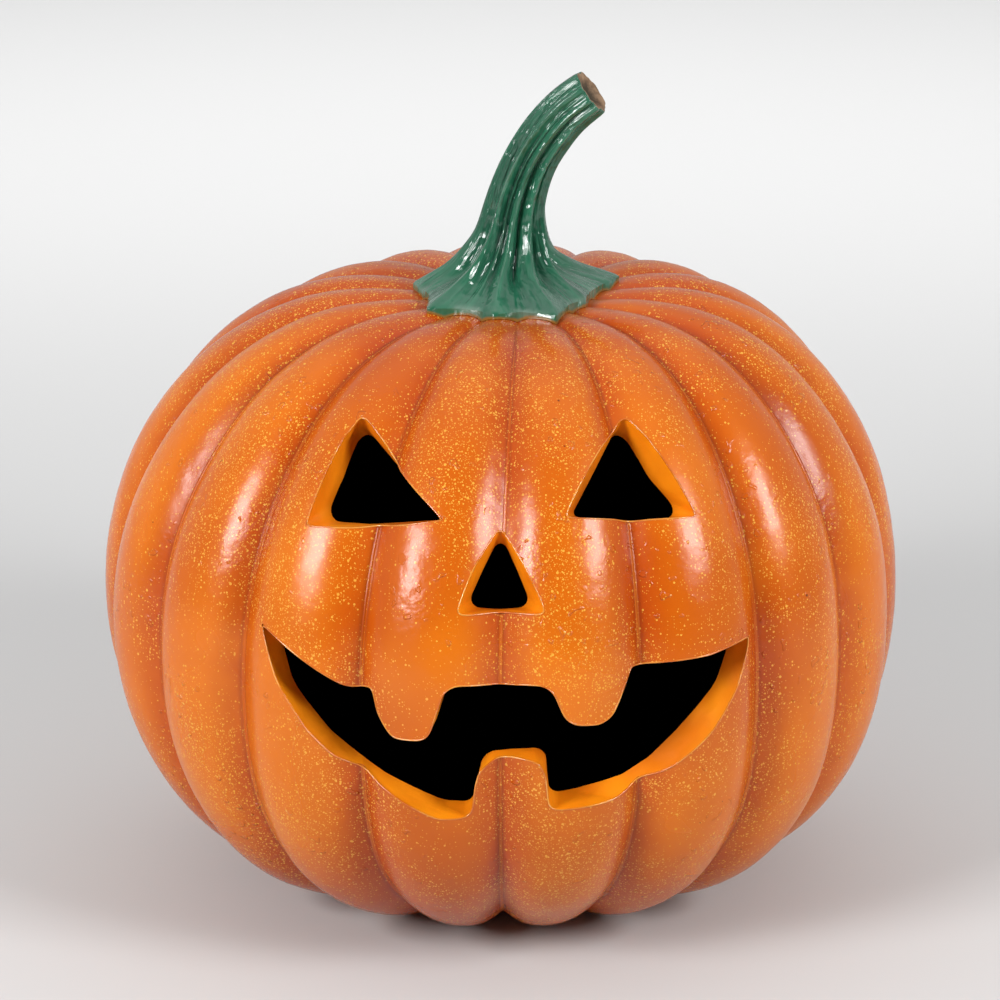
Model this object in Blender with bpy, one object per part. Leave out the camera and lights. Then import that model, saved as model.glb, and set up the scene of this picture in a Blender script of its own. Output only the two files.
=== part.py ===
"""Carved pumpkin lantern, a moulded garden and window ornament.

Two pieces: a hollow ribbed shell with two eyes, a nose and a toothed mouth cut through its front,
and a leaning ribbed stem that sits in the hollow of its crown. Metres, +Z up, face towards -Y,
origin on the floor under the middle of the body.
"""
import math

import bmesh
import bpy
from mathutils import Vector

# The shell: a rounded body of revolution that the lobes are pressed into
LOBES = 18
BODY_RADIUS = 0.250
UPPER_HEIGHT = 0.2275
UPPER_FULLNESS = 2.13
LOWER_HEIGHT = 0.191
LOWER_FULLNESS = 2.47
CROWN_HOLLOW_DEPTH = 0.039
CROWN_HOLLOW_WIDTH = 0.107
BASE_HOLLOW_DEPTH = 0.020
BASE_HOLLOW_WIDTH = 0.070
GROOVE_DEPTH_MIDDLE = 0.0152
GROOVE_DEPTH_TOP = 0.0060
GROOVE_DEPTH_BOTTOM = 0.0082
GROOVE_FADE_RADIUS = 0.050
LOBE_ROUNDNESS = 0.90
CROWN_LEAN = 0.0112
BASE_LEAN = 0.0033
LOW_LEFT_FLATTENING = 0.006
LOW_RIGHT_FLATTENING = 0.002
LOW_FLATTENING_ANGLE = math.radians(-22)
LOW_FLATTENING_SPREAD = math.radians(14)
MIDDLE_HEIGHT = 0.179
WALL = 0.021

# How finely the two skins are divided
STEPS_PER_LOBE = 6
SKIN_ROWS = 30
CAVITY_STEPS = 36
CAVITY_ROWS = 16

# The carving, drawn on the flat plane that touches the front of the body and cut towards its
# middle. Each corner is (across, up from the body's middle, corner radius), clockwise or not
LEFT_EYE = [(-0.123, 0.261, 0.003), (-0.139, 0.215, 0.040), (-0.146, 0.137, 0.006),
            (-0.095, 0.131, 0.060), (-0.038, 0.136, 0.003), (-0.074, 0.180, 0.060)]
RIGHT_EYE = [(0.113, 0.262, 0.003), (0.129, 0.218, 0.040), (0.149, 0.147, 0.006),
             (0.095, 0.138, 0.060), (0.041, 0.139, 0.004), (0.068, 0.196, 0.060)]
NOSE = [(0.000, 0.135, 0.002), (0.018, 0.105, 0.030), (0.029, 0.072, 0.006),
        (0.000, 0.074, 0.040), (-0.028, 0.071, 0.006), (-0.018, 0.104, 0.030)]
MOUTH = [(-0.177, 0.064, 0.001), (-0.134, 0.043, 0.040), (-0.097, 0.021, 0.016),
         (-0.080, 0.025, 0.004), (-0.074, 0.004, 0.014), (-0.062, -0.0055, 0.008),
         (-0.046, -0.0055, 0.008), (-0.038, 0.013, 0.010), (-0.032, 0.030, 0.008),
         (0.003, 0.028, 0.040), (0.029, 0.030, 0.007), (0.036, 0.011, 0.010),
         (0.048, 0.004, 0.010), (0.063, 0.004, 0.010), (0.075, 0.013, 0.010),
         (0.082, 0.036, 0.004), (0.140, 0.042, 0.040), (0.193, 0.054, 0.001),
         (0.172, 0.020, 0.040), (0.145, -0.010, 0.040), (0.108, -0.038, 0.030),
         (0.085, -0.049, 0.016), (0.032, -0.051, 0.005), (0.028, -0.030, 0.010),
         (0.021, -0.019, 0.004), (0.004, -0.018, 0.020), (-0.015, -0.028, 0.004),
         (-0.017, -0.056, 0.006), (-0.038, -0.059, 0.016), (-0.084, -0.036, 0.030),
         (-0.104, -0.031, 0.016), (-0.128, -0.006, 0.040), (-0.158, 0.030, 0.040)]
# Each opening narrows through the wall to this share of its size at the skin
CARVING = {"left_eye": (LEFT_EYE, 0.86), "right_eye": (RIGHT_EYE, 0.86),
           "nose": (NOSE, 0.80), "mouth": (MOUTH, 0.985)}
CORNER_STEPS = 3
INNER_CORNER_RADIUS = 0.009
CUT_START = 1.14
CUT_INNER_EDGE = 0.905
CUT_END = 0.80

# The stem: (height above the body's middle, offset to the right, offset to the back, radius over
# the ribs). The first two levels are the foot, which stands in the crown's hollow
STEM_PATH = [(0.168, 0.011, 0.000, 0.068), (0.1965, 0.011, 0.000, 0.068),
             (0.2015, 0.009, 0.000, 0.056), (0.2050, 0.006, 0.000, 0.043),
             (0.2115, 0.006, 0.000, 0.0330), (0.2206, 0.007, 0.000, 0.0255),
             (0.2313, 0.0083, 0.000, 0.0215), (0.2433, 0.0092, 0.000, 0.0197),
             (0.2567, 0.0116, -0.001, 0.0183), (0.2713, 0.0164, -0.002, 0.0172),
             (0.2837, 0.0221, -0.0035, 0.0164), (0.2956, 0.0296, -0.0055, 0.0165),
             (0.3098, 0.0404, -0.0080, 0.0161), (0.3208, 0.0547, -0.0110, 0.0148)]
# Each rib ends in a toe: (its direction, 0 to the right and 90 to the back, its length)
TOES = [(18, 0.067), (70, 0.062), (122, 0.066), (174, 0.065),
        (222, 0.076), (256, 0.067), (287, 0.072), (321, 0.052)]
STEPS_PER_RIB = 6
RIB_DEPTH = 0.17
TOE_HOLLOW = 0.07
FOOT_LEVELS = 2
TOE_LEVELS = 5
STEM_TWIST = math.radians(18)
TIP_PIT_DEPTH = 0.003
TIP_PIT_RADIUS = 0.006
SEAT_GAP = 0.0003


def material(name, colour, roughness):
    made = bpy.data.materials.new(name)
    made.use_nodes = True
    shader = made.node_tree.nodes["Principled BSDF"]
    shader.inputs["Base Color"].default_value = (*colour, 1)
    shader.inputs["Roughness"].default_value = roughness
    shader.inputs["Metallic"].default_value = 0
    return made


def make_object(name, mesh_data, finish=None):
    mesh = bpy.data.meshes.new(name)
    bmesh.ops.recalc_face_normals(mesh_data, faces=mesh_data.faces)
    mesh_data.to_mesh(mesh)
    mesh_data.free()
    made = bpy.data.objects.new(name, mesh)
    bpy.context.collection.objects.link(made)
    if finish:
        mesh.materials.append(finish)
        mesh.shade_smooth()
        mesh.set_sharp_from_angle(angle=math.radians(35))
    else:
        made.hide_render = True
        made.display_type = "WIRE"
    return made


def envelope_reach(tilt):
    """Distance from the body's middle to the round form, before its poles are hollowed."""
    across, up = max(math.cos(tilt), 0), math.sin(tilt)
    height, power = (UPPER_HEIGHT, UPPER_FULLNESS) if up > 0 else (LOWER_HEIGHT, LOWER_FULLNESS)
    return ((across / BODY_RADIUS) ** power + (abs(up) / height) ** power) ** (-1 / power)


def envelope(tilt):
    """Radius and height, from the body's middle, of the surface that the lobes' crests touch."""
    radius = envelope_reach(tilt) * max(math.cos(tilt), 0)
    level = envelope_reach(tilt) * math.sin(tilt)
    if tilt > 0:
        level -= CROWN_HOLLOW_DEPTH * math.exp(-(radius / CROWN_HOLLOW_WIDTH) ** 2)
    else:
        level += BASE_HOLLOW_DEPTH * math.exp(-(radius / BASE_HOLLOW_WIDTH) ** 2)
    return radius, level


def outward(tilt):
    """Unit direction (radius, height) that points out of the envelope."""
    step = 1e-4
    radius_after, level_after = envelope(tilt + step)
    radius_before, level_before = envelope(tilt - step)
    slope = Vector((level_after - level_before, radius_before - radius_after))
    return slope.normalized()


def groove_depth(tilt):
    at_pole = GROOVE_DEPTH_TOP if tilt > 0 else GROOVE_DEPTH_BOTTOM
    depth = at_pole + (GROOVE_DEPTH_MIDDLE - at_pole) * math.cos(tilt) ** 2
    return depth * (1 - math.exp(-(envelope(tilt)[0] / GROOVE_FADE_RADIUS) ** 2))


def lobe_height(turn):
    """1 on a lobe's crest and 0 in the groove beside it."""
    across = 2 * (turn * LOBES / math.tau % 1) - 1
    floor = math.sqrt(1 - LOBE_ROUNDNESS ** 2)
    return (math.sqrt(1 - (LOBE_ROUNDNESS * across) ** 2) - floor) / (1 - floor)


def low_side_flattening(turn, tilt):
    side = math.sin(turn)
    depth = LOW_RIGHT_FLATTENING if side > 0 else LOW_LEFT_FLATTENING
    return depth * side ** 4 * math.exp(-((tilt - LOW_FLATTENING_ANGLE) / LOW_FLATTENING_SPREAD) ** 2)


def body_point(turn, tilt, depth):
    """Point at a depth under the envelope, turn 0 at the front and growing to the right."""
    radius, level = envelope(tilt)
    direction = outward(tilt)
    radius -= direction[0] * depth
    level -= direction[1] * depth
    lean = (CROWN_LEAN if tilt > 0 else BASE_LEAN) * math.sin(tilt) ** 2
    height = max(MIDDLE_HEIGHT + level, 0)
    return Vector((radius * math.sin(turn) + lean, -radius * math.cos(turn), height))


def skin_point(turn, tilt):
    pressed_in = groove_depth(tilt) * (1 - lobe_height(turn)) + low_side_flattening(turn, tilt)
    return body_point(turn, tilt, pressed_in)


def cavity_point(turn, tilt):
    return body_point(turn, tilt, WALL + low_side_flattening(turn, tilt))


def closed_skin(point, steps, rows):
    """A closed ball of rings from the crown to the base, with one vertex at each pole."""
    ball = bmesh.new()
    tilts = [math.pi * (0.5 - (row + 1) / (rows + 1)) for row in range(rows)]
    rings = [[ball.verts.new(point(math.tau * step / steps, tilt)) for step in range(steps)]
             for tilt in tilts]
    crown = ball.verts.new(point(0, math.pi / 2))
    base = ball.verts.new(point(0, -math.pi / 2))
    for step in range(steps):
        beside = (step + 1) % steps
        ball.faces.new((crown, rings[0][step], rings[0][beside]))
        ball.faces.new((base, rings[-1][beside], rings[-1][step]))
        for upper, lower in zip(rings, rings[1:]):
            ball.faces.new((upper[step], lower[step], lower[beside], upper[beside]))
    return ball


def rounded(corners, least_radius=0.0):
    """The outline through the corners, each turned into an arc of CORNER_STEPS segments."""
    outline = []
    places = [Vector(corner[:2]) for corner in corners]
    for index, place in enumerate(places):
        before = places[index - 1] - place
        after = places[(index + 1) % len(places)] - place
        half_angle = before.angle(after) / 2
        radius = max(corners[index][2], least_radius)
        reach = min(radius / math.tan(half_angle), 0.45 * before.length, 0.45 * after.length)
        start = place + before.normalized() * reach
        end = place + after.normalized() * reach
        for step in range(CORNER_STEPS + 1):
            along = step / CORNER_STEPS
            outline.append(start.lerp(place, along).lerp(place.lerp(end, along), along))
    return outline


def narrowed(outline, share):
    """The outline made smaller about its own middle."""
    middle = sum(outline, Vector((0, 0))) / len(outline)
    return [middle + (place - middle) * share for place in outline]


def aimed(place, scale):
    """A point of the carving's plane moved along its line to the body's middle; 1 is on the skin."""
    direction = Vector((place.x, -BODY_RADIUS, place.y)).normalized()
    return direction * envelope_reach(math.asin(direction.z)) * scale + Vector((0, 0, MIDDLE_HEIGHT))


def carving_cutter(name, corners, inner_share):
    """A plug that narrows towards the body's middle, as a knife held at that point would cut it."""
    outline = rounded(corners)
    inner = narrowed(rounded(corners, INNER_CORNER_RADIUS), inner_share)
    stages = [(CUT_START, outline), (1.0, outline), (CUT_INNER_EDGE, inner), (CUT_END, inner)]
    plug = bmesh.new()
    loops = []
    for scale, shape in stages:
        loops.append([plug.verts.new(aimed(place, scale)) for place in shape])
    count = len(outline)
    for near, far in zip(loops, loops[1:]):
        for index in range(count):
            beside = (index + 1) % count
            plug.faces.new((near[index], near[beside], far[beside], far[index]))
    caps = [plug.faces.new(loops[0]), plug.faces.new(loops[-1])]
    bmesh.ops.triangulate(plug, faces=caps, ngon_method="EAR_CLIP")
    return make_object(name + "_cutter", plug)


def cut(target, cutter):
    boolean = target.modifiers.new(cutter.name, "BOOLEAN")
    boolean.operation = "DIFFERENCE"
    boolean.solver = "EXACT"
    boolean.object = cutter


def rib_round():
    """For each step round the stem: its direction, how deep in a valley it is, its toe's length."""
    steps = []
    for index, (angle, length) in enumerate(TOES):
        next_angle, next_length = TOES[(index + 1) % len(TOES)]
        gap = math.radians((next_angle - angle) % 360)
        for step in range(STEPS_PER_RIB):
            along = step / STEPS_PER_RIB
            valley = math.sin(math.pi * along)
            straight_edge = 1 - (1 - math.cos(gap / 2)) * valley
            reach = (length + (next_length - length) * along) * straight_edge * (1 - TOE_HOLLOW * valley)
            steps.append((math.radians(angle) + gap * along, valley, reach))
    return steps


def stem_body():
    """Rings along the leaning path, whose ribs spread into pointed toes at the foot."""
    stem = bmesh.new()
    around = rib_round()
    steps = len(around)
    centres = [Vector((right, back, MIDDLE_HEIGHT + height)) for height, right, back, radius in STEM_PATH]
    foot_radius = STEM_PATH[0][3]
    rings = []
    for level, (centre, row) in enumerate(zip(centres, STEM_PATH)):
        ahead = centres[min(level + 1, len(centres) - 1)]
        behind = centres[max(level - 1, 0)]
        axis = (ahead - behind).normalized() if level >= TOE_LEVELS else Vector((0, 0, 1))
        across = Vector((0, 1, 0)).cross(axis).normalized()
        away = axis.cross(across)
        toe_share = max(0, 1 - max(0, level - FOOT_LEVELS + 1) / TOE_LEVELS)
        twist = STEM_TWIST * level / (len(centres) - 1)
        ring = []
        for angle, valley, toe in around:
            round_radius = row[3] * (1 - RIB_DEPTH * valley)
            toe_radius = row[3] * toe / foot_radius
            radius = round_radius + (toe_radius - round_radius) * toe_share
            direction = across * math.cos(angle + twist) + away * math.sin(angle + twist)
            ring.append(stem.verts.new(centre + direction * radius))
        rings.append(ring)
    for lower, upper in zip(rings, rings[1:]):
        for step in range(steps):
            beside = (step + 1) % steps
            stem.faces.new((lower[step], lower[beside], upper[beside], upper[step]))
    tip_axis = (centres[-1] - centres[-2]).normalized()
    rim = []
    for vertex in rings[-1]:
        outwards = (vertex.co - centres[-1]).normalized()
        rim.append(stem.verts.new(centres[-1] + outwards * TIP_PIT_RADIUS))
    pit = stem.verts.new(centres[-1] - tip_axis * TIP_PIT_DEPTH)
    foot = stem.verts.new(centres[0])
    for step in range(steps):
        beside = (step + 1) % steps
        stem.faces.new((rings[-1][step], rings[-1][beside], rim[beside], rim[step]))
        stem.faces.new((rim[step], rim[beside], pit))
        stem.faces.new((rings[0][beside], rings[0][step], foot))
    return stem


def main():
    for old in list(bpy.data.objects):
        bpy.data.objects.remove(old)
    orange = material("pumpkin_orange", (0.62, 0.17, 0.02), 0.25)
    green = material("stem_green", (0.02, 0.12, 0.06), 0.3)

    steps = LOBES * STEPS_PER_LOBE
    pumpkin = make_object("pumpkin_shell", closed_skin(skin_point, steps, SKIN_ROWS), orange)
    cut(pumpkin, make_object("cavity_cutter", closed_skin(cavity_point, CAVITY_STEPS, CAVITY_ROWS)))
    for name, (corners, inner_share) in CARVING.items():
        cut(pumpkin, carving_cutter(name, corners, inner_share))

    stem = make_object("stem", stem_body(), green)
    seat = make_object("seat_cutter", closed_skin(skin_point, steps, SKIN_ROWS))
    seat.location.z = SEAT_GAP
    cut(stem, seat)


main()
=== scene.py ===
"""The looks of a carved pumpkin lantern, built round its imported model. Metres, +Z up, face to -Y."""
import math

import bmesh
import bpy
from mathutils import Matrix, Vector
from mathutils.geometry import intersect_point_line


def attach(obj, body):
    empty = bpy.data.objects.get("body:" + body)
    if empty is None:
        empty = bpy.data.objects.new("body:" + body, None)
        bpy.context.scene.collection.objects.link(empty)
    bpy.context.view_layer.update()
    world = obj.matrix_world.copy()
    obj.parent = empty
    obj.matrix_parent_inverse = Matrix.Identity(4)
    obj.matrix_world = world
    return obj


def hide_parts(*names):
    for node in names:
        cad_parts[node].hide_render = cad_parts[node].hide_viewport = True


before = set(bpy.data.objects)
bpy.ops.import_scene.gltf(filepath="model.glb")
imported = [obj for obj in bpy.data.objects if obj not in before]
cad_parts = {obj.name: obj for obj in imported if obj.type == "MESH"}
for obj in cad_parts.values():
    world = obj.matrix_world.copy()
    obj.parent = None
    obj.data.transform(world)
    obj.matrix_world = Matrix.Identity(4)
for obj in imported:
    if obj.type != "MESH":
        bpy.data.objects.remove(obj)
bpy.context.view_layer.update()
bpy.ops.object.select_all(action="DESELECT")


# The hollow pumpkin. The real one is a moulded resin shell: eighteen lobes round a body that is
# dimpled at the crown and the base. Here a ball is shaped ring by ring, its grooves are pressed in
# along the normals, and it is smoothed.
LOBES = 18
STEPS_PER_LOBE = 6
SKIN_ROWS = 34
SKIN_SMOOTHING = 2
BODY_RADIUS = 0.250
UPPER_HEIGHT = 0.2275
UPPER_FULLNESS = 2.13
LOWER_HEIGHT = 0.191
LOWER_FULLNESS = 2.47
CROWN_HOLLOW_DEPTH = 0.039
CROWN_HOLLOW_WIDTH = 0.107
BASE_HOLLOW_DEPTH = 0.020
BASE_HOLLOW_WIDTH = 0.070
CROWN_LEAN = 0.0112
BASE_LEAN = 0.0033
GROOVE_DEPTH = 0.0152
GROOVE_AT_CROWN = 0.40
GROOVE_AT_BASE = 0.54
GROOVE_FADE_RADIUS = 0.085
GROOVE_CREASE = 0.70
CREASE_END_TILT = 84
LOBE_ROUNDNESS = 0.90
LOW_LEFT_FLATTENING = 0.006
LOW_RIGHT_SHARE = 0.33
LOW_FLATTENING_ANGLE = -22
LOW_FLATTENING_SPREAD = 14
MIDDLE = Vector((0, 0, 0.179))
UNEVENNESS = 0.0022
UNEVENNESS_SIZE = 0.11
RIPPLE = 0.0004
RIPPLE_SIZE = 0.012


def envelope(tilt):
    """Radius and height from the middle, at a tilt in degrees, of the form that the lobes touch."""
    across, up = max(math.cos(math.radians(tilt)), 0), math.sin(math.radians(tilt))
    height, power = (UPPER_HEIGHT, UPPER_FULLNESS) if up > 0 else (LOWER_HEIGHT, LOWER_FULLNESS)
    reach = ((across / BODY_RADIUS) ** power + (abs(up) / height) ** power) ** (-1 / power)
    radius, level = reach * across, reach * up
    if up > 0:
        level -= CROWN_HOLLOW_DEPTH * math.exp(-(radius / CROWN_HOLLOW_WIDTH) ** 2)
    else:
        level += BASE_HOLLOW_DEPTH * math.exp(-(radius / BASE_HOLLOW_WIDTH) ** 2)
    return radius, level


def select_vertices(obj, chosen):
    """Selects in edit mode the vertices whose indices are in a set, and nothing else."""
    mesh = bmesh.from_edit_mesh(obj.data)
    mesh.verts.ensure_lookup_table()
    for vertex in mesh.verts:
        vertex.select = vertex.index in chosen
    mesh.select_flush_mode()
    bmesh.update_edit_mesh(obj.data)


def nudge(obj, index, offset):
    """Moves one vertex, in edit mode."""
    select_vertices(obj, {index})
    bpy.ops.transform.translate(value=offset)


def apply_modifiers(obj):
    """Applies all of them, and leaves the object selected and active."""
    bpy.ops.object.select_all(action="DESELECT")
    obj.select_set(True)
    bpy.context.view_layer.objects.active = obj
    for modifier in list(obj.modifiers):
        bpy.ops.object.modifier_apply(modifier=modifier.name)


def add_displace(obj, strength, group="", size=0.0, depth=0):
    """Moves the skin along its normals: where a group says, or by clouds of a size."""
    displace = obj.modifiers.new("displace", "DISPLACE")
    displace.strength = strength
    displace.vertex_group = group
    displace.mid_level = 0
    if size:
        texture = bpy.data.textures.new("unevenness", "CLOUDS")
        texture.noise_scale = size
        texture.noise_depth = depth
        displace.texture = texture
        displace.texture_coords = "LOCAL"
        displace.mid_level = 0.5


def add_subsurf(obj, levels):
    smooth = obj.modifiers.new("smooth", "SUBSURF")
    smooth.levels = smooth.render_levels = levels


def round_body(name, steps, rows):
    """A ball with its rings moved onto the envelope; gives it and each vertex's turn and tilt."""
    bpy.ops.mesh.primitive_uv_sphere_add(segments=steps, ring_count=rows, radius=BODY_RADIUS)
    ball = bpy.context.object
    ball.name = name
    places = {}
    for vertex in ball.data.vertices:
        tilt = math.degrees(math.asin(max(-1, min(1, vertex.co.z / BODY_RADIUS))))
        row = round((90 - tilt) * rows / 180)
        turn = math.degrees(math.atan2(vertex.co.x, -vertex.co.y))
        places[vertex.index] = (turn, 90 - row * 180 / rows)
    bpy.ops.object.mode_set(mode="EDIT")
    for row in range(rows + 1):
        tilt = 90 - row * 180 / rows
        radius, level = envelope(tilt)
        lean = (CROWN_LEAN if tilt > 0 else BASE_LEAN) * math.sin(math.radians(tilt)) ** 2
        ring_radius = BODY_RADIUS * math.cos(math.radians(tilt))
        ring_level = BODY_RADIUS * math.sin(math.radians(tilt))
        widen = radius / ring_radius if 0 < row < rows else 1
        select_vertices(ball, {i for i, place in places.items() if place[1] == tilt})
        bpy.ops.transform.resize(value=(widen, widen, 1), center_override=(0, 0, ring_level))
        bpy.ops.transform.translate(value=(lean, 0, MIDDLE.z + level - ring_level))
    bpy.ops.object.mode_set(mode="OBJECT")
    low_side = ball.vertex_groups.new(name="low_side")
    for index, (turn, tilt) in places.items():
        side = math.sin(math.radians(turn))
        share = side ** 4 * (LOW_RIGHT_SHARE if side > 0 else 1)
        spread = math.exp(-((tilt - LOW_FLATTENING_ANGLE) / LOW_FLATTENING_SPREAD) ** 2)
        low_side.add([index], share * spread, "REPLACE")
    add_displace(ball, -LOW_LEFT_FLATTENING, "low_side")
    return ball, places


def press_grooves(body, places):
    """Sinks the skin between the lobes, less towards the crown and the base."""
    grooves = body.vertex_groups.new(name="grooves")
    floor = math.sqrt(1 - LOBE_ROUNDNESS ** 2)
    for index, (turn, tilt) in places.items():
        across = 2 * (turn * LOBES / 360 % 1) - 1
        bulge = (math.sqrt(1 - (LOBE_ROUNDNESS * across) ** 2) - floor) / (1 - floor)
        at_pole = GROOVE_AT_CROWN if tilt > 0 else GROOVE_AT_BASE
        depth = at_pole + (1 - at_pole) * math.cos(math.radians(tilt)) ** 2
        fade = 1 - math.exp(-(envelope(tilt)[0] / GROOVE_FADE_RADIUS) ** 2)
        grooves.add([index], depth * fade * (1 - bulge), "REPLACE")
    add_displace(body, -GROOVE_DEPTH, "grooves")


def crease_grooves(body, places):
    """Marks the edges along each groove's bottom, so that smoothing keeps the line sharp."""
    in_groove = {i for i, (turn, tilt) in places.items() if round(turn * LOBES / 360, 3) % 1 == 0}
    crease = body.data.attributes.new("crease_edge", "FLOAT", "EDGE")
    for edge in body.data.edges:
        first, second = edge.vertices
        if first in in_groove and second in in_groove and abs(places[first][1]) < CREASE_END_TILT:
            crease.data[edge.index].value = GROOVE_CREASE


pumpkin, skin_places = round_body("pumpkin", LOBES * STEPS_PER_LOBE, SKIN_ROWS)
press_grooves(pumpkin, skin_places)
apply_modifiers(pumpkin)
crease_grooves(pumpkin, skin_places)
add_subsurf(pumpkin, SKIN_SMOOTHING)
add_displace(pumpkin, UNEVENNESS, size=UNEVENNESS_SIZE, depth=1)
add_displace(pumpkin, RIPPLE, size=RIPPLE_SIZE, depth=1)
apply_modifiers(pumpkin)


# The flat spots it rests on: the lowest place of each lobe is levelled in the mould, so that the
# lantern stands still. A copy of the skin is kept, to shape the foot of the stem.
bpy.ops.object.mode_set(mode="EDIT")
skin = bmesh.from_edit_mesh(pumpkin.data)
below_floor = {vertex.index for vertex in skin.verts if vertex.co.z < 0}
select_vertices(pumpkin, below_floor)
bpy.ops.transform.resize(value=(1, 1, 0), center_override=(0, 0, 0))
bpy.ops.object.mode_set(mode="OBJECT")
bpy.ops.object.duplicate()
seat_cutter = bpy.context.object
seat_cutter.name = "seat_cutter"


# The hollow inside it, smooth where the outside is lobed, so the wall is thick behind each lobe
# and thin behind each groove. Its walls are coloured near black, as painted shade for the dark inside.
WALL = 0.021
HOLLOW_STEPS = 48
HOLLOW_ROWS = 24
cavity = round_body("cavity", HOLLOW_STEPS, HOLLOW_ROWS)[0]
add_displace(cavity, -WALL)
add_subsurf(cavity, 1)
apply_modifiers(cavity)


# The carving: two eyes, a nose and a mouth with two upper teeth and a lower one, cut towards the
# middle of the body. Each plug runs from an outline on the skin to one on the hollow, both bowed
# onto balls; the inner one has softer corners, as the casting is thick there. Each corner is given
# by its place to the right and up from the body's middle, and how round it is.
LEFT_EYE = [(-0.119, 0.260, 0.003), (-0.139, 0.213, 0.040), (-0.1465, 0.138, 0.0015),
            (-0.098, 0.131, 0.060), (-0.037, 0.1365, 0.001), (-0.074, 0.179, 0.060)]
LEFT_EYE_INSIDE = [(-0.1455, 0.275, 0.019), (-0.143, 0.197, 0.040), (-0.1475, 0.149, 0.021),
                   (-0.098, 0.142, 0.060), (-0.040, 0.143, 0.003), (-0.080, 0.192, 0.050)]
RIGHT_EYE = [(0.111, 0.264, 0.003), (0.130, 0.216, 0.040), (0.149, 0.1465, 0.003),
             (0.093, 0.139, 0.060), (0.0415, 0.139, 0.001), (0.069, 0.194, 0.060)]
RIGHT_EYE_INSIDE = [(0.118, 0.266, 0.018), (0.131, 0.193, 0.040), (0.155, 0.1535, 0.019),
                    (0.097, 0.143, 0.060), (0.0525, 0.146, 0.0045), (0.076, 0.189, 0.060)]
NOSE = [(0.001, 0.145, 0.0007), (0.018, 0.104, 0.030), (0.029, 0.072, 0.003),
        (0.000, 0.071, 0.040), (-0.0275, 0.0715, 0.003), (-0.018, 0.103, 0.030)]
NOSE_INSIDE = [(0.0005, 0.131, 0.0085), (0.012, 0.102, 0.030), (0.0212, 0.0765, 0.009),
               (-0.0005, 0.0750, 0.040), (-0.0222, 0.0765, 0.009), (-0.0125, 0.101, 0.030)]
UPPER_LIP = [(-0.134, 0.0415, 0.040), (-0.098, 0.021, 0.016), (-0.0805, 0.0235, 0.003),
             (-0.0762, 0.0080, 0.016), (-0.0655, -0.0062, 0.010),
             (-0.0424, -0.0050, 0.009), (-0.032, 0.0295, 0.010),
             (0.001, 0.0275, 0.040), (0.0296, 0.0300, 0.011), (0.0395, 0.0045, 0.012),
             (0.0665, 0.0030, 0.015), (0.0835, 0.0365, 0.003), (0.140, 0.042, 0.040)]
LOWER_LIP = [(0.170, 0.016, 0.040), (0.1445, -0.011, 0.040), (0.108, -0.0385, 0.030),
             (0.087, -0.050, 0.016), (0.029, -0.0512, 0.006), (0.0265, -0.028, 0.010),
             (0.022, -0.0195, 0.005), (0.004, -0.018, 0.020), (-0.014, -0.029, 0.008),
             (-0.0165, -0.0575, 0.008), (-0.037, -0.0585, 0.016), (-0.079, -0.040, 0.030),
             (-0.104, -0.031, 0.016), (-0.124, -0.0115, 0.040), (-0.154, 0.024, 0.040)]
LOWER_LIP_INSIDE = [(0.166, 0.0116, 0.040), (0.137, -0.011, 0.040), (0.104, -0.035, 0.030),
                    (0.0825, -0.0454, 0.016), (0.0326, -0.0537, 0.008), (0.0305, -0.0358, 0.010),
                    (0.029, -0.0185, 0.010), (0.0075, -0.019, 0.020), (-0.0102, -0.0207, 0.013),
                    (-0.0186, -0.059, 0.007), (-0.0376, -0.0594, 0.020), (-0.0773, -0.0431, 0.030),
                    (-0.096, -0.032, 0.016), (-0.1203, -0.0177, 0.040), (-0.157, 0.0145, 0.040)]
MOUTH = [(-0.177, 0.065, 0.001)] + UPPER_LIP + [(0.195, 0.054, 0.001)] + LOWER_LIP
MOUTH_INSIDE = [(-0.1745, 0.0546, 0.001)] + UPPER_LIP + [(0.1853, 0.0454, 0.001)] + LOWER_LIP_INSIDE
CORNER_STEPS = 6
CORNER_LIMIT = 0.45
INNER_EDGE = 0.912
PLUG_START = 1.14
PLUG_END = 0.80


def outline_loop(corners, ball_radius):
    """A flat outline in front of the body, with rounded corners, bowed onto a ball."""
    bpy.ops.mesh.primitive_circle_add(vertices=len(corners), radius=BODY_RADIUS, fill_type="NGON")
    loop = bpy.context.object
    places = [Vector((across, -BODY_RADIUS, up)) for across, up, radius in corners]
    starts = [vertex.co.copy() for vertex in loop.data.vertices]
    bpy.ops.object.mode_set(mode="EDIT")
    for index, place in enumerate(places):
        nudge(loop, index, place - starts[index])
    for index, place in enumerate(places):
        before = places[index - 1] - place
        after = places[(index + 1) % len(places)] - place
        reach = corners[index][2] / math.tan(before.angle(after) / 2)
        reach = min(reach, CORNER_LIMIT * before.length, CORNER_LIMIT * after.length)
        mesh = bmesh.from_edit_mesh(loop.data)
        nearest = min(mesh.verts, key=lambda vertex: (vertex.co - place).length)
        select_vertices(loop, {nearest.index})
        bpy.ops.mesh.bevel(offset=reach, segments=CORNER_STEPS, affect="VERTICES")
    bpy.ops.mesh.select_all(action="SELECT")
    bpy.ops.mesh.delete(type="ONLY_FACE")
    bpy.ops.object.mode_set(mode="OBJECT")
    bow = loop.modifiers.new("bow", "CAST")
    bow.factor = 1
    bow.use_radius_as_size = False
    bow.size = ball_radius
    apply_modifiers(loop)
    return loop


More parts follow.
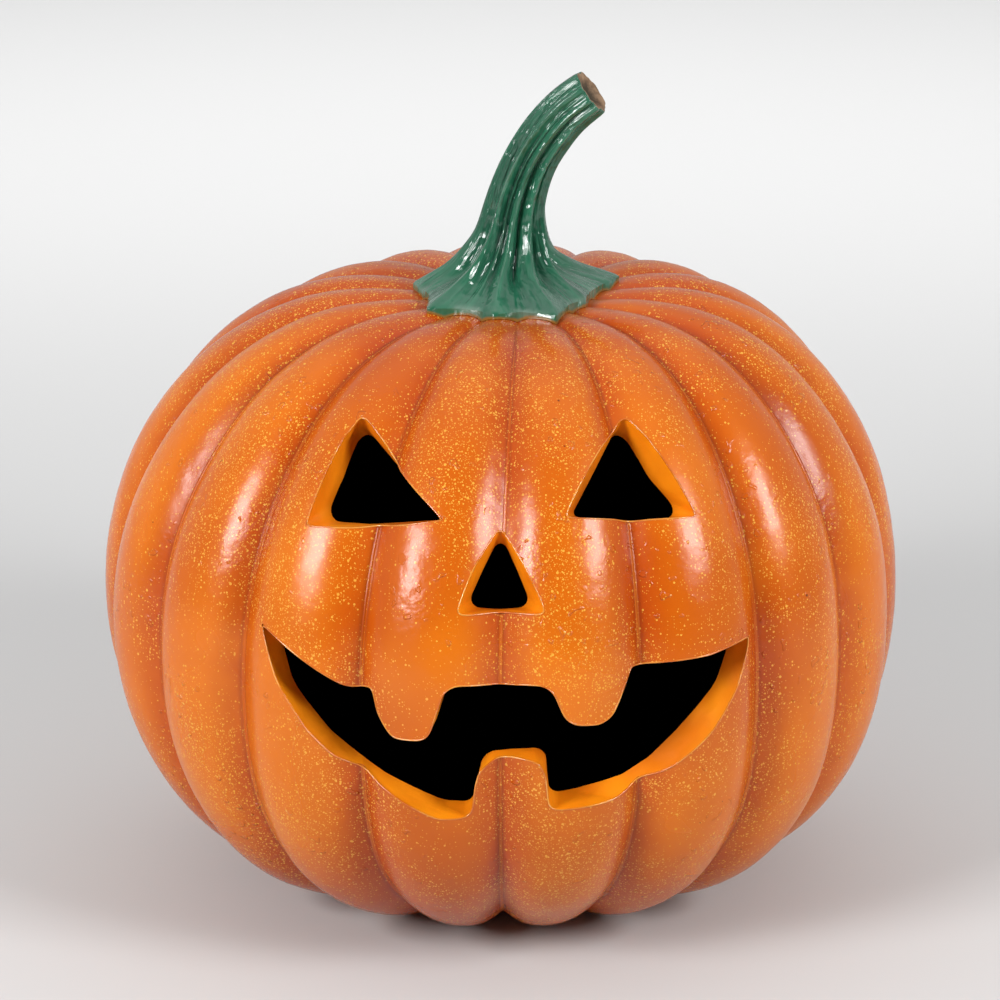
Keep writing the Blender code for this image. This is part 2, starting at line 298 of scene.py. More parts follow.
def carving_plug(name, corners, inside):
    """A closed plug from the outline on the skin to the one inside, corner for corner."""
    inner = outline_loop(inside, BODY_RADIUS * INNER_EDGE)
    inner_places = [vertex.co.copy() for vertex in inner.data.vertices]
    bpy.data.objects.remove(inner)
    plug = outline_loop(corners, BODY_RADIUS)
    plug.name = name
    outer_places = [vertex.co.copy() for vertex in plug.data.vertices]
    bpy.ops.object.mode_set(mode="EDIT")
    bpy.ops.mesh.select_all(action="SELECT")
    bpy.ops.mesh.extrude_edges_move()
    mesh = bmesh.from_edit_mesh(plug.data)
    inner_ring = {vertex.index: vertex.co.copy() for vertex in mesh.verts if vertex.select}
    outer_ring = {vertex.index for vertex in mesh.verts if not vertex.select}
    for index, start in inner_ring.items():
        match = min(range(len(outer_places)), key=lambda i: (outer_places[i] - start).length)
        nudge(plug, index, inner_places[match] - start)
    for ring, scale in ((outer_ring, PLUG_START), (set(inner_ring), PLUG_END / INNER_EDGE)):
        select_vertices(plug, ring)
        bpy.ops.mesh.extrude_edges_move()
        bpy.ops.transform.resize(value=(scale, scale, scale), center_override=(0, 0, 0))
        bpy.ops.mesh.edge_face_add()
    bpy.ops.mesh.select_all(action="SELECT")
    bpy.ops.transform.translate(value=MIDDLE)
    bpy.ops.mesh.quads_convert_to_tris(ngon_method="CLIP")
    bpy.ops.mesh.normals_make_consistent(inside=False)
    bpy.ops.object.mode_set(mode="OBJECT")
    return plug


plugs = [carving_plug("left_eye", LEFT_EYE, LEFT_EYE_INSIDE),
         carving_plug("right_eye", RIGHT_EYE, RIGHT_EYE_INSIDE),
         carving_plug("nose", NOSE, NOSE_INSIDE), carving_plug("mouth", MOUTH, MOUTH_INSIDE)]


# The paint. Orange lacquer is sprayed over the whole shell, red-brown is misted into the grooves
# along with painted shade there, painted shade darkens the crown and the base, and fine gold spots
# are flicked over it. The cast surface under it has small pits and blisters, and a mould seam that
# shows as a thin bead along each groove, with a painted highlight on its top and painted shade at
# its sides.
class Value:
    """A number that varies over a surface, on which sums are written as in Python."""

    def __init__(self, paint, socket):
        self.paint = paint
        self.socket = socket

    def maths(self, operation, first, second=0.0):
        return self.paint.node("Math", {"operation": operation}, {0: first, 1: second})

    def __add__(self, other):
        return self.maths("ADD", self, other)

    __radd__ = __add__

    def __sub__(self, other):
        return self.maths("SUBTRACT", self, other)

    def __rsub__(self, other):
        return self.maths("SUBTRACT", other, self)

    def __mul__(self, other):
        return self.maths("MULTIPLY", self, other)

    __rmul__ = __mul__

    def __truediv__(self, other):
        return self.maths("DIVIDE", self, other)

    def __rtruediv__(self, other):
        return self.maths("DIVIDE", other, self)

    def __lt__(self, other):
        return self.maths("LESS_THAN", self, other)

    def __gt__(self, other):
        return self.maths("GREATER_THAN", self, other)


class Paint:
    """One material: its shader, and the nodes that feed it."""

    def __init__(self, name, **constants):
        self.material = bpy.data.materials.new(name)
        self.material.use_nodes = True
        self.tree = self.material.node_tree
        self.shader = self.tree.nodes["Principled BSDF"]
        for socket, value in constants.items():
            self.shader.inputs[socket.replace("_", " ")].default_value = value

    def node(self, kind, settings, inputs, output=0):
        made = self.tree.nodes.new("ShaderNode" + kind)
        for name, value in settings.items():
            setattr(made, name, value)
        for name, value in inputs.items():
            if isinstance(value, Value):
                self.tree.links.new(value.socket, made.inputs[name])
            else:
                made.inputs[name].default_value = value
        return Value(self, made.outputs[output])

    def feed(self, **sockets):
        for name, value in sockets.items():
            self.tree.links.new(value.socket, self.shader.inputs[name.replace("_", " ")])

    def place(self):
        return self.node("TexCoord", {}, {}, "Object")

    def part(self, vector, axis):
        return self.node("SeparateXYZ", {}, {0: vector}, axis)

    def stretched(self, vector, scale):
        return self.node("VectorMath", {"operation": "MULTIPLY"}, {0: vector, 1: scale})

    def noise(self, where, scale, detail=2.0, roughness=0.5):
        inputs = {"Vector": where, "Scale": scale, "Detail": detail, "Roughness": roughness}
        return self.node("TexNoise", {}, inputs, "Fac")

    def distance(self, where, place):
        return self.node("VectorMath", {"operation": "DISTANCE"}, {0: where, 1: place}, "Value")

    def cells(self, where, scale):
        """Distance from the nearest of many scattered points, in cells."""
        return self.node("TexVoronoi", {}, {"Vector": where, "Scale": scale}, "Distance")

    def band(self, value, low, high):
        """0 at low and 1 at high, smooth between them and level beyond."""
        settings = {"interpolation_type": "SMOOTHSTEP"}
        return self.node("MapRange", settings, {"Value": value, "From Min": low, "From Max": high})

    def blend(self, share, first, second):
        """The first colour where share is 0, the second where it is 1."""
        first = (*first, 1) if isinstance(first, tuple) else first
        second = (*second, 1) if isinstance(second, tuple) else second
        return self.node("Mix", {"data_type": "RGBA"}, {0: share, 6: first, 7: second}, 2)

    def spots(self, where, scale, size, kept):
        """Round spots, 1 inside and 0 outside, at most one in a cell of the pattern.

        size is in cells, and kept is the share of cells that have a spot.
        """
        from_point = self.cells(where, scale)
        lot = Value(self, from_point.socket.node.outputs["Color"])
        reach = size * (0.5 + 0.5 * self.part(lot, "Y"))
        return (from_point < reach) * (self.part(lot, "X") < kept)

    def bump(self, height, distance, under=None):
        inputs = {"Height": height, "Distance": distance}
        if under:
            inputs["Normal"] = under
        return self.node("Bump", {}, inputs)


ORANGE = (0.490, 0.092, 0.0018)
LIGHT_ORANGE = (0.605, 0.140, 0.0028)
# Red-brown for the grooves' mist and painted shade, and for the painted shade at the crown and base
MIST_AND_SHADE_BROWN = (0.360, 0.030, 0.0014)
# Painted shade for the creases beside the bead
CREASE_SHADE_BROWN = (0.180, 0.021, 0.003)
# Painted highlight for the top of the seam bead
BEAD_HIGHLIGHT_ORANGE = (0.600, 0.180, 0.020)
SPOT_GOLD = (0.720, 0.370, 0.045)
PIT_BROWN = (0.08, 0.012, 0.003)
# Distance from a lobe's crest, where 1 is the groove's bottom
MIST_AND_SHADE_START = 0.42
MIST_AND_SHADE_END = 1.02
BEAD_SIDE = 0.90
BEAD_EDGE = 0.965
BEAD_TOP = 0.985
# How much of each colour covers the orange where it is thickest
MIST_AND_SHADE_SHARE = 0.66
CROWN_SHADE_SHARE = 0.45
BASE_SHADE_SHARE = 0.50
DUST_SHARE = 0.55
BEAD_SHADE_SHARE = 0.32
BEAD_HIGHLIGHT_SHARE = 0.40
PIT_SHARE = 0.75
# Where each begins and is full: the square of the distance from the axis, or the height over the
# body's middle
CROWN_SHADE_BAND = (0.034, 0.006)
BEAD_BAND = (0.001, 0.012)
BASE_SHADE_BAND = (-0.07, -0.17)
# Patterns, in cells or waves for each metre
PATCH_SCALE = 8
DENSITY_SCALE = 12
CLOUD_SCALE = 22
PIT_SCALE = 62
WAVE_SCALE = 70
BLISTER_SCALE = 190
PEEL_SCALE = 240
LARGE_FLECK_SCALE = 310
SMALL_FLECK_SCALE = 500
DUST_SCALE = 820
# Heights of the relief in millimetres
MILLIMETRE = 0.001
WAVE_HEIGHT = 0.40
PEEL_HEIGHT = 0.24
BLISTER_HEIGHT = 0.55
BEAD_HEIGHT = 0.50

lacquer = Paint("orange_lacquer", Specular_IOR_Level=0.36)
where = lacquer.place()
across = lacquer.part(where, "X")
back = lacquer.part(where, "Y")
rise = lacquer.part(where, "Z") - MIDDLE.z
radius_squared = across * across + back * back
hollow_power = radius_squared * (-1 / CROWN_HOLLOW_WIDTH ** 2)
hollow = lacquer.node("Math", {"operation": "EXPONENT"}, {0: hollow_power})
lifted = rise + CROWN_HOLLOW_DEPTH * hollow * (rise > 0)
steepness = lifted * lifted / (lifted * lifted + radius_squared)
lean = steepness * (BASE_LEAN + (CROWN_LEAN - BASE_LEAN) * (rise > 0))
turn = lacquer.node("Math", {"operation": "ARCTAN2"}, {0: across - lean, 1: back * -1})
lobe_share = lacquer.node("Math", {"operation": "FRACT"}, {0: turn * (LOBES / math.tau) + LOBES})
from_crest = lacquer.node("Math", {"operation": "ABSOLUTE"}, {0: lobe_share * 2 - 1})
away_from_crown = lacquer.band(radius_squared, *BEAD_BAND)

patches = lacquer.noise(where, PATCH_SCALE, 2)
clouds = lacquer.noise(where, CLOUD_SCALE, 2, 0.6)
colour = lacquer.blend(lacquer.band(patches, 0.35, 0.65), ORANGE, LIGHT_ORANGE)
# Red-brown is misted towards the grooves, and painted shade darkens the lobes there as well
groove_mist_and_shade = lacquer.band(from_crest, MIST_AND_SHADE_START, MIST_AND_SHADE_END) * lacquer.band(clouds, 0.10, 0.60)
colour = lacquer.blend(groove_mist_and_shade * MIST_AND_SHADE_SHARE, colour, MIST_AND_SHADE_BROWN)
# Painted shade: the top round the crown and the lower body are darkened with the red-brown
crown = lacquer.band(radius_squared, *CROWN_SHADE_BAND) * (rise > 0)
base = lacquer.band(rise, *BASE_SHADE_BAND)
ends = (crown * CROWN_SHADE_SHARE + base * BASE_SHADE_SHARE) * lacquer.band(clouds, 0.0, 0.55)
colour = lacquer.blend(ends, colour, MIST_AND_SHADE_BROWN)

# The flecks lie in clusters: two sizes of drops, and a fine dust
density = lacquer.band(lacquer.noise(where, DENSITY_SCALE, 2, 0.6), 0.36, 0.62)
large_flecks = lacquer.spots(where, LARGE_FLECK_SCALE, 0.27, 0.02 + 0.44 * density)
small_flecks = lacquer.spots(where, SMALL_FLECK_SCALE, 0.33, 0.10 + 0.72 * density)
flecks = lacquer.band(large_flecks + small_flecks, 0.0, 1.0)
gold_dust = lacquer.spots(where, DUST_SCALE, 0.36, 0.15 + 0.75 * density)
colour = lacquer.blend(gold_dust * DUST_SHARE, colour, SPOT_GOLD)
colour = lacquer.blend(flecks * (0.55 + 0.45 * clouds), colour, SPOT_GOLD)

bead = lacquer.band(from_crest, BEAD_EDGE, BEAD_TOP) * away_from_crown
# Painted shade darkens the creases at the bead's sides
bead_side_shade = lacquer.band(from_crest, BEAD_SIDE, BEAD_EDGE) * away_from_crown
colour = lacquer.blend((bead_side_shade - bead) * BEAD_SHADE_SHARE, colour, CREASE_SHADE_BROWN)
# A painted highlight: lighter orange along the top of the bead, in patches
bead_highlight = bead * lacquer.band(clouds, 0.40, 0.62)
colour = lacquer.blend(bead_highlight * BEAD_HIGHLIGHT_SHARE, colour, BEAD_HIGHLIGHT_ORANGE)
pits = lacquer.spots(where, PIT_SCALE, 0.05, 0.30)
colour = lacquer.blend(pits * PIT_SHARE, colour, PIT_BROWN)

blisters = lacquer.band(lacquer.noise(where, BLISTER_SCALE, 0), 0.70, 0.78)
blisters = blisters * lacquer.band(clouds, 0.46, 0.60)
peel = lacquer.noise(where, PEEL_SCALE, 1) * (0.25 + lacquer.band(clouds, 0.44, 0.64))
waves = lacquer.noise(where, WAVE_SCALE, 1)
height = WAVE_HEIGHT * waves + PEEL_HEIGHT * peel
height = height + BLISTER_HEIGHT * (blisters - pits) + BEAD_HEIGHT * bead
relief = lacquer.bump(height, MILLIMETRE)
lacquer.feed(Base_Color=colour, Roughness=0.19 + 0.14 * patches, Normal=relief)


# The cut faces. They are trimmed with a knife while the casting is soft, so they roll gently, and
# are brushed yellow-orange. Painted shade darkens them towards the inside, and they are browner
# towards the mouth's left end.
CUT_ORANGE = (0.73, 0.172, 0.0018)
CUT_YELLOW = (0.84, 0.255, 0.0030)
# Brown, for the painted shade towards the inside and for the mouth's left end
CUT_BROWN = (0.16, 0.028, 0.0015)
# Metres from the body's middle where the painted shade sets in, and metres right where the mouth
# browns
INNER_SHADE_BAND = (0.240, 0.229)
MOUTH_END_BAND = (-0.128, -0.150)
INNER_SHADE_SHARE = 0.22
MOUTH_END_SHARE = 0.65
ROLL_SCALE = 26
ROLL_HEIGHT = 0.004
BRUSH_SCALE = 120
BRUSH_HEIGHT = 0.0004
# Near black for the hollow's walls: painted shade
INSIDE_SHADE_BLACK = (0.0012, 0.0010, 0.0008)
INSIDE_SHADE_BROWN = (0.003, 0.002, 0.0015)

cut_paint = Paint("cut_face_paint", Roughness=0.40, Coat_Weight=0.15, Coat_Roughness=0.3)
where = cut_paint.place()
rolls = cut_paint.noise(where, ROLL_SCALE, 2)
brushed = cut_paint.blend(cut_paint.band(rolls, 0.3, 0.7), CUT_ORANGE, CUT_YELLOW)
from_middle = cut_paint.distance(where, MIDDLE)
# Painted shade: the cut faces darken towards the hollow inside
inner_edge_shade = cut_paint.band(from_middle + 0.010 * cut_paint.noise(where, 14, 2), *INNER_SHADE_BAND)
mouth_end = cut_paint.band(cut_paint.part(where, "X"), *MOUTH_END_BAND)
brushed = cut_paint.blend(inner_edge_shade * INNER_SHADE_SHARE, brushed, CUT_BROWN)
brushed = cut_paint.blend(mouth_end * MOUTH_END_SHARE, brushed, CUT_BROWN)
relief = cut_paint.bump(rolls, ROLL_HEIGHT)
relief = cut_paint.bump(cut_paint.noise(where, BRUSH_SCALE, 2), BRUSH_HEIGHT, relief)
cut_paint.feed(Base_Color=brushed, Normal=relief)

# The hollow's walls: painted shade, near black and dull
inside_shade_paint = Paint("inside_painted_shade", Roughness=0.95, Specular_IOR_Level=0.05)
where = inside_shade_paint.place()
painted_inside_shade = inside_shade_paint.blend(inside_shade_paint.noise(where, 30, 3), INSIDE_SHADE_BLACK, INSIDE_SHADE_BROWN)
relief = inside_shade_paint.bump(inside_shade_paint.noise(where, 90, 2), 0.0005)
inside_shade_paint.feed(Base_Color=painted_inside_shade, Normal=relief)


def cut(target, cutter):
    """Cuts one closed piece out of another; the new faces keep the cutter's material."""
    boolean = target.modifiers.new("cut", "BOOLEAN")
    boolean.operation = "DIFFERENCE"
    boolean.solver = "MANIFOLD"
    boolean.object = cutter
    boolean.material_mode = "TRANSFER"
    apply_modifiers(target)
    bpy.data.objects.remove(cutter)


SHELL_EDGE_ANGLE = math.radians(40)
pumpkin.data.materials.append(lacquer.material)
cavity.data.materials.append(inside_shade_paint.material)
cut(pumpkin, cavity)
for plug in plugs:
    plug.data.materials.append(cut_paint.material)
    cut(pumpkin, plug)

bpy.ops.object.shade_smooth_by_angle(angle=SHELL_EDGE_ANGLE)
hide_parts("pumpkin_shell")


# The rims. Lacquer pools along each cut edge and dries there as a thin glossy bead, which is traced
# from the edge itself: a copy of its loop is evened out and given a round section.
RIM_MERGE = 0.0012
RIM_BEAD_RADIUS = 0.0005
RIM_ORANGE = (0.50, 0.105, 0.004)
RIM_YELLOW = (0.66, 0.26, 0.030)
RUN_SCALE = 60
RIM_PEEL_SCALE = 200
RIM_PEEL_HEIGHT = 0.0006
skin_slot = pumpkin.data.materials.find(lacquer.material.name)
cut_slot = pumpkin.data.materials.find(cut_paint.material.name)
bpy.ops.object.mode_set(mode="EDIT")
bpy.ops.mesh.select_all(action="DESELECT")
bpy.ops.mesh.select_mode(type="EDGE")
mesh = bmesh.from_edit_mesh(pumpkin.data)
for edge in mesh.edges:
    edge.select = {face.material_index for face in edge.link_faces} == {skin_slot, cut_slot}
bmesh.update_edit_mesh(pumpkin.data)
bpy.ops.mesh.duplicate()
bpy.ops.mesh.separate(type="SELECTED")
bpy.ops.mesh.select_mode(type="VERT")
bpy.ops.object.mode_set(mode="OBJECT")
rims = next(obj for obj in bpy.context.selected_objects if obj is not pumpkin)
rims.name = "rim_beads"
bpy.ops.object.select_all(action="DESELECT")
rims.select_set(True)
bpy.context.view_layer.objects.active = rims
bpy.ops.object.mode_set(mode="EDIT")
bpy.ops.mesh.select_all(action="SELECT")
bpy.ops.mesh.remove_doubles(threshold=RIM_MERGE)
bpy.ops.mesh.vertices_smooth(factor=0.5, repeat=2)
bpy.ops.object.mode_set(mode="OBJECT")
bpy.ops.object.convert(target="CURVE")
rims.data.bevel_depth = RIM_BEAD_RADIUS
rims.data.bevel_resolution = 1
bpy.ops.object.convert(target="MESH")
rims.data.shade_smooth()

rim_paint = Paint("rim_lacquer", Roughness=0.16, Coat_Weight=0.6, Coat_Roughness=0.08)
where = rim_paint.place()
runs = rim_paint.noise(where, RUN_SCALE, 3)
pooled = rim_paint.blend(rim_paint.band(runs, 0.35, 0.65), RIM_ORANGE, RIM_YELLOW)
relief = rim_paint.bump(rim_paint.noise(where, RIM_PEEL_SCALE, 2), RIM_PEEL_HEIGHT)
rim_paint.feed(Base_Color=pooled, Normal=relief)
rims.data.materials.clear()
rims.data.materials.append(rim_paint.material)
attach(rims, "root")
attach(pumpkin, "root")


# The stem: a separate moulding, bonded into the crown's hollow and lacquered dark green. Eight ribs
# with smaller ridges between them run down it and spread into pointed toes.
SEAT_GAP = 0.0003
STEM_TWIST = math.radians(18)
# Metres up from the body's middle, to the right and back, and the radius, from foot to cut end
STEM_PATH = [(0.168, 0.011, 0.000, 0.068), (0.1980, 0.011, 0.000, 0.068),
             (0.2028, 0.009, 0.000, 0.058), (0.2075, 0.006, 0.000, 0.0465),
             (0.2135, 0.006, 0.000, 0.0370), (0.2206, 0.007, 0.000, 0.0290),
             (0.2313, 0.0083, 0.000, 0.0232), (0.2433, 0.0092, 0.000, 0.0207),
             (0.2567, 0.0116, -0.001, 0.0188), (0.2713, 0.0164, -0.002, 0.0176),
             (0.2837, 0.0221, -0.0035, 0.0168), (0.2956, 0.0296, -0.0055, 0.0168),
             (0.3098, 0.0404, -0.0080, 0.0160), (0.3208, 0.0547, -0.0110, 0.0156)]
# Each toe's direction in degrees and its length
TOES = [(18, 0.067), (70, 0.062), (122, 0.066), (174, 0.065),
        (222, 0.076), (256, 0.067), (287, 0.072), (321, 0.052)]
# How far each step from one rib to the next is sunk, as a share of RIB_DEPTH
RIDGE_PATTERNS = [(0.00, 0.08, 0.30, 0.42, 0.80, 1.10, 0.95, 0.55, 0.52, 0.16),
                  (0.04, 0.22, 0.62, 1.05, 0.88, 0.60, 0.72, 1.00, 0.48, 0.12),
                  (0.00, 0.12, 0.26, 0.66, 1.12, 0.96, 0.62, 0.40, 0.30, 0.10)]
RIB_DEPTH = 0.32
# How much of the ribs shows at each level, from the foot to the cut end
RIB_SHARES = [0.02, 0.05, 0.45, 0.85] + [1.0] * 7 + [0.80, 0.60, 0.40]
TOE_HOLLOW = 0.07
FOOT_EDGE_DENT = 0.012
FOOT_LEVELS = 2
TOE_LEVELS = 5
RIB_CREASE = 0.55
FOOT_EDGE_CREASE = 0.8
# The rings of the cut end: their size, as a share of the last ring's, and how far they stand out
CUT_END = [(0.93, 0.0010), (0.84, 0.0008), (0.60, -0.0010), (0.22, -0.0038)]

# For each column round the stem: its direction, its reach as a toe and its reach as a rib
columns = []
for index, (angle, length) in enumerate(TOES):
    next_angle, next_length = TOES[(index + 1) % len(TOES)]
    gap = math.radians((next_angle - angle) % 360)
    pattern = RIDGE_PATTERNS[index % len(RIDGE_PATTERNS)]
    for step, low in enumerate(pattern):
        along = step / len(pattern)
        valley = math.sin(math.pi * along)
        straight_edge = 1 - (1 - math.cos(gap / 2)) * valley
        dented_edge = 1 - TOE_HOLLOW * valley - FOOT_EDGE_DENT * low
        toe = (length + (next_length - length) * along) * straight_edge * dented_edge
        columns.append((math.radians(angle) + gap * along, toe / STEM_PATH[0][3], RIB_DEPTH * low))
centres = [Vector((right, back, MIDDLE.z + rise)) for rise, right, back, radius in STEM_PATH]

foot_radius = STEM_PATH[0][3]
bpy.ops.mesh.primitive_circle_add(vertices=len(columns), radius=foot_radius, location=centres[0])
stem = bpy.context.object
stem.name = "stem_moulding"
bpy.ops.object.transform_apply(location=True)
bpy.ops.object.mode_set(mode="EDIT")
ring = list(range(len(columns)))
for level, (centre, row) in enumerate(zip(centres, STEM_PATH)):
    ahead = centres[min(level + 1, len(centres) - 1)]
    behind = centres[max(level - 1, 0)]
    axis = (ahead - behind).normalized() if level >= TOE_LEVELS else Vector((0, 0, 1))
    across = Vector((0, 1, 0)).cross(axis).normalized()
    away = axis.cross(across)
    toe_share = max(0, 1 - max(0, level - FOOT_LEVELS + 1) / TOE_LEVELS)
    twist = STEM_TWIST * level / (len(centres) - 1)
    if level:
        bpy.ops.mesh.select_all(action="DESELECT")
        select_vertices(stem, set(ring))
        bpy.ops.mesh.extrude_edges_move()
        ring = [index + len(columns) for index in ring]
    mesh = bmesh.from_edit_mesh(stem.data)
    mesh.verts.ensure_lookup_table()
    starts = [mesh.verts[index].co.copy() for index in ring]
    for index, start, (angle, toe_reach, rib_depth) in zip(ring, starts, columns):
        reach = row[3] * (1 + (toe_reach - 1) * toe_share) * (1 - rib_depth * RIB_SHARES[level])
        direction = across * math.cos(angle + twist) + away * math.sin(angle + twist)
        nudge(stem, index, centre + direction * reach - start)
tip_axis = (centres[-1] - centres[-2]).normalized()
last_share, last_rise = 1, 0
for share, rise in CUT_END:
    bpy.ops.mesh.select_all(action="DESELECT")
    select_vertices(stem, set(ring))
    bpy.ops.mesh.extrude_edges_move()
    ring = [index + len(columns) for index in ring]
    narrowing = share / last_share
    pivot = centres[-1] + tip_axis * last_rise
    bpy.ops.transform.resize(value=(narrowing,) * 3, center_override=pivot)
    bpy.ops.transform.translate(value=tip_axis * (rise - last_rise))
    last_share, last_rise = share, rise
bpy.ops.mesh.edge_face_add()
bpy.ops.mesh.select_all(action="DESELECT")
select_vertices(stem, set(range(len(columns))))
bpy.ops.mesh.edge_face_add()
bpy.ops.mesh.select_all(action="SELECT")
bpy.ops.mesh.normals_make_consistent(inside=False)
bpy.ops.object.mode_set(mode="OBJECT")

# Inside its rounded rim, the cut end is painted as dry brown wood
STEM_EDGE_ANGLE = math.radians(50)
DEEP_GREEN = (0.0105, 0.082, 0.044)
BRIGHT_GREEN = (0.023, 0.140, 0.076)
# Painted shade for the furrows between the ridges
FURROW_SHADE_GREEN = (0.004, 0.022, 0.016)
WORN_GREEN = (0.16, 0.23, 0.18)
STREAK_GREEN = (0.010, 0.045, 0.030)
# Orange for the foot's edge next to the shell
SEAT_ORANGE = (0.30, 0.11, 0.008)
SEAT_ORANGE_BAND = (0.0026, 0.0006)
WOOD_BROWN = (0.13, 0.070, 0.035)
WOOD_TAN = (0.30, 0.19, 0.11)
WOOD_PIT = (0.035, 0.024, 0.010)
PIT_BAND = (0.0135, 0.0075)
COARSE_GRAIN_SCALE = 5
COARSE_GRAIN_HEIGHT = 0.0016
FINE_GRAIN_SCALE = 10
FINE_GRAIN_HEIGHT = 0.0008
DENT_SCALE = 105
DENT_HEIGHT = 0.0017

stem_paint = Paint("stem_lacquer", Specular_IOR_Level=0.6, Roughness=0.12, Coat_Weight=0.35,
                   Coat_Roughness=0.05)
wood_paint = Paint("stem_cut_wood", Roughness=0.8)
stem.data.materials.append(stem_paint.material)
stem.data.materials.append(wood_paint.material)
levels = len(STEM_PATH)
for face in stem.data.polygons:
    if min(face.vertices) >= len(columns) * levels:
        face.material_index = 1
crease = stem.data.attributes.new("crease_edge", "FLOAT", "EDGE")
for edge in stem.data.edges:
    first, second = sorted(edge.vertices)
    on_rib = first % len(RIDGE_PATTERNS[0]) == 0 and second == first + len(columns)
    on_foot_edge = first // len(columns) == second // len(columns) == FOOT_LEVELS - 1
    if on_rib and second < levels * len(columns):
        crease.data[edge.index].value = RIB_CREASE
    elif on_foot_edge:
        crease.data[edge.index].value = FOOT_EDGE_CREASE
add_subsurf(stem, 2)
apply_modifiers(stem)
seat_cutter.location.z = SEAT_GAP
seat_cutter.data.materials.clear()
cut(stem, seat_cutter)

# Where each point lies round and along the stem, for the grain, and how near it is to the shell
grains = []
seat_gaps = []
for vertex in stem.data.vertices:
    on_path = []
    for first, second in zip(centres, centres[1:]):
        share = intersect_point_line(vertex.co, first, second)[1]
        on_path.append(first.lerp(second, max(0, min(1, share))))
    nearest = min(on_path, key=lambda place: (place - vertex.co).length)
    outwards = (vertex.co - nearest).normalized()
    grains += [outwards.x, outwards.y, vertex.co.z]
    on_shell = pumpkin.closest_point_on_mesh(vertex.co)[1]
    seat_gaps.append((on_shell - vertex.co).length)
stem.data.attributes.new("grain", "FLOAT_VECTOR", "POINT").data.foreach_set("vector", grains)
stem.data.attributes.new("seat", "FLOAT", "POINT").data.foreach_set("value", seat_gaps)

where = stem_paint.place()
grain = stem_paint.node("Attribute", {"attribute_name": "grain"}, {}, "Vector")
grain = stem_paint.stretched(grain, (1, 1, 4))
fine_grain = stem_paint.noise(grain, FINE_GRAIN_SCALE, 2, 0.6)
coarse_grain = stem_paint.noise(grain, COARSE_GRAIN_SCALE, 3, 0.6)
edge = stem_paint.node("NewGeometry", {}, {}, "Pointiness")
ridge = stem_paint.band(edge, 0.505, 0.560)
# Painted shade darkens the furrows between the ridges
furrow_shade = stem_paint.band(edge, 0.495, 0.440)
green_share = stem_paint.band(coarse_grain, 0.3, 0.7)
green = stem_paint.blend(green_share, DEEP_GREEN, BRIGHT_GREEN)
green = stem_paint.blend(furrow_shade * 0.75, green, FURROW_SHADE_GREEN)
worn = ridge * stem_paint.band(stem_paint.noise(where, 55, 3), 0.40, 0.65)
green = stem_paint.blend(worn * 0.55, green, WORN_GREEN)
streaks = stem_paint.band(fine_grain, 0.60, 0.72)
green = stem_paint.blend(streaks * 0.5, green, STREAK_GREEN)
seat_gap = stem_paint.node("Attribute", {"attribute_name": "seat"}, {}, "Fac")
# The foot is coloured orange where it comes near the shell
seat_orange = stem_paint.band(seat_gap + 0.003 * (coarse_grain - 0.5), *SEAT_ORANGE_BAND)
green = stem_paint.blend(seat_orange * 0.75, green, SEAT_ORANGE)
relief = stem_paint.bump(coarse_grain, COARSE_GRAIN_HEIGHT)
relief = stem_paint.bump(fine_grain, FINE_GRAIN_HEIGHT, relief)
relief = stem_paint.bump(stem_paint.noise(where, DENT_SCALE, 1), DENT_HEIGHT, relief)
stem_paint.feed(Base_Color=green, Normal=relief)

where = wood_paint.place()
rings_of_wood = wood_paint.noise(where, 150, 3, 0.6)
wood = wood_paint.blend(wood_paint.band(rings_of_wood, 0.3, 0.7), WOOD_BROWN, WOOD_TAN)
from_pit = wood_paint.distance(where, centres[-1])
in_pit = wood_paint.band(from_pit + 0.005 * rings_of_wood, *PIT_BAND)
wood = wood_paint.blend(in_pit, wood, WOOD_PIT)
wood_paint.feed(Base_Color=wood, Normal=wood_paint.bump(rings_of_wood, 0.0015))

bpy.ops.object.select_all(action="DESELECT")
stem.select_set(True)
bpy.context.view_layer.objects.active = stem
bpy.ops.object.shade_smooth_by_angle(angle=STEM_EDGE_ANGLE)
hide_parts("stem")
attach(stem, "root")


# The studio: a pale floor, a surround that is white behind and dim in front, a softbox on each side
# in front, a wide one overhead, and one behind that lights the floor there.
CAMERA_DISTANCE = 2.5
CAMERA_TILT = math.radians(19.75)
BODY_MIDDLE_ROW = 588
IMAGE_SIZE = 1000
SENSOR_WIDTH = 36
METRES_PER_PIXEL = BODY_RADIUS / 396
FLOOR_SIZE = 14
FLOOR_GREY = 0.56
SURROUND_BAND = (-0.7, 0.3)
SURROUND_STRENGTH = (0.08, 0.60)
FAR_FLOOR = (0.0, 3.2, 0.0)

bpy.ops.mesh.primitive_plane_add(size=FLOOR_SIZE)
floor = bpy.context.object
floor.name = "floor"
floor_paint = Paint("floor_white", Roughness=0.9)
floor_paint.shader.inputs["Base Color"].default_value = (FLOOR_GREY, FLOOR_GREY, FLOOR_GREY, 1)
floor.data.materials.append(floor_paint.material)

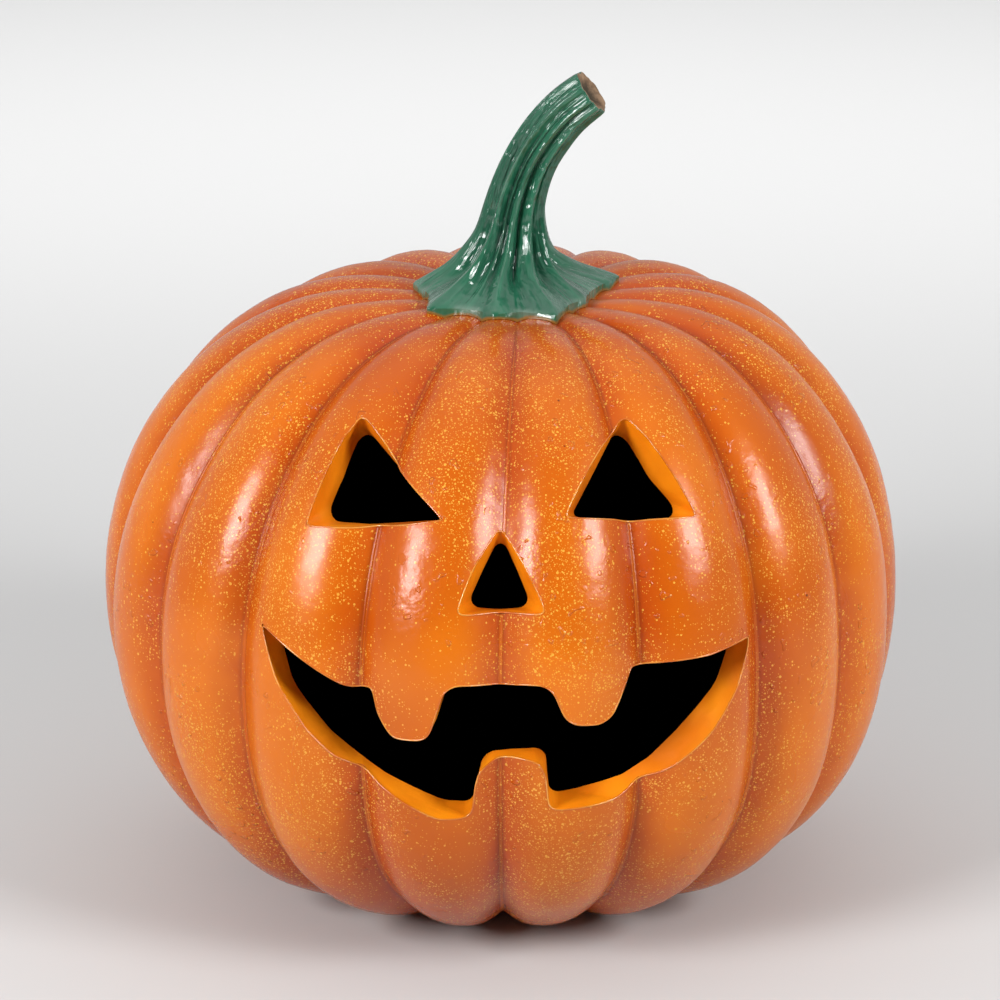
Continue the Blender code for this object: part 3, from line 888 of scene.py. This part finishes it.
world = bpy.data.worlds.new("studio")
bpy.context.scene.world = world
world.use_nodes = True
background = world.node_tree.nodes["Background"]
direction = world.node_tree.nodes.new("ShaderNodeTexCoord")
split = world.node_tree.nodes.new("ShaderNodeSeparateXYZ")
fade = world.node_tree.nodes.new("ShaderNodeMapRange")
world.node_tree.links.new(direction.outputs["Generated"], split.inputs[0])
world.node_tree.links.new(split.outputs["Y"], fade.inputs["Value"])
world.node_tree.links.new(fade.outputs["Result"], background.inputs["Strength"])
fade.inputs["From Min"].default_value, fade.inputs["From Max"].default_value = SURROUND_BAND
fade.inputs["To Min"].default_value, fade.inputs["To Max"].default_value = SURROUND_STRENGTH
background.inputs["Color"].default_value = (1, 1, 1, 1)


def softbox(name, place, aim, width, height, power):
    """A rectangular lamp that faces a place; sizes in metres, power in watts."""
    light = bpy.data.lights.new(name, "AREA")
    light.shape = "RECTANGLE"
    light.size, light.size_y = width, height
    light.energy = power
    box = bpy.data.objects.new(name, light)
    bpy.context.collection.objects.link(box)
    box.location = place
    box.rotation_euler = (Vector(aim) - Vector(place)).to_track_quat("-Z", "Y").to_euler()


softbox("softbox_left", (-1.6, -1.5, 1.3), MIDDLE, 0.85, 0.9, 55)
softbox("softbox_right", (1.7, -1.3, 1.4), MIDDLE, 0.8, 0.9, 46)
softbox("softbox_top", (0.0, 0.2, 2.4), MIDDLE, 2.2, 2.2, 4)
softbox("softbox_behind", (0.0, 2.2, 1.7), FAR_FLOOR, 3.8, 2.4, 62)

camera_data = bpy.data.cameras.new("camera")
camera = bpy.data.objects.new("camera", camera_data)
bpy.context.collection.objects.link(camera)
towards_camera = Vector((0, -math.cos(CAMERA_TILT), math.sin(CAMERA_TILT)))
camera.location = MIDDLE + CAMERA_DISTANCE * towards_camera
camera.rotation_euler = (math.pi / 2 - CAMERA_TILT, 0, 0)
camera_data.sensor_width = SENSOR_WIDTH
camera_data.lens = CAMERA_DISTANCE / METRES_PER_PIXEL / IMAGE_SIZE * SENSOR_WIDTH
camera_data.shift_y = (BODY_MIDDLE_ROW - IMAGE_SIZE / 2) / IMAGE_SIZE
bpy.context.scene.camera = camera
bpy.context.scene.view_settings.view_transform = "Standard"

bpy.context.view_layer.update()
